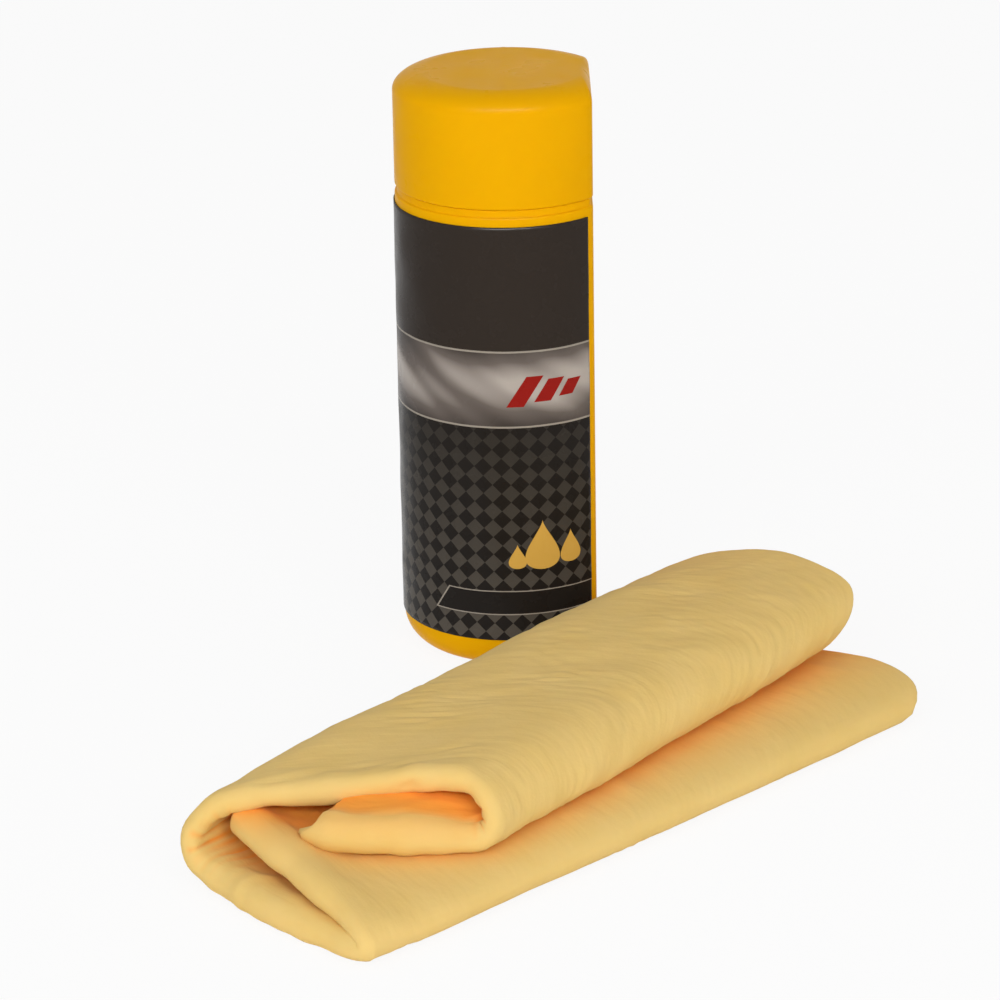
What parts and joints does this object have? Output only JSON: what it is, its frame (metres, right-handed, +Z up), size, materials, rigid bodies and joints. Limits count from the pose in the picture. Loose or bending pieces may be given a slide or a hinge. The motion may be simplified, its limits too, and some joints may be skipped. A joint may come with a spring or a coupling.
{
  "type": "synthetic chamois cloth with storage canister",
  "caption": "Thick synthetic chamois cloth folded into a flat packet, beside its D-section plastic storage canister with a push-on cap, a recessed neck and a wrap-round label.",
  "frame": {"origin": "centre of the footprint of the set, cloth and canister together, on the surface that both rest on", "axes": "+Z up along the canister, -Y towards the label's front, +X towards the canister's flat side"},
  "size_m": [0.1986, 0.2532, 0.1715],
  "materials": {
    "yellow_plastic": "semi-gloss blow-moulded polyethylene, self-coloured yellow",
    "label_film": null,
    "chamois": "soft matt foam-like cloth, finely wrinkled"
  },
  "bodies": {
    "canister": {"canister_body": "yellow_plastic", "wrap_label": "label_film"},
    "cap": {"canister_cap": "yellow_plastic"},
    "cloth": {"chamois_cloth": "chamois"}
  },
  "joints": [
    {"name": "cap_lift", "type": "slide", "parent": "canister", "child": "cap", "axis": [0, 0, 1], "range_m": [0, 0.1]},
    {"name": "cloth_lift", "type": "slide", "parent": "canister", "child": "cloth", "axis": [0, 0, 1], "range_m": [0, 0.08]}
  ]
}
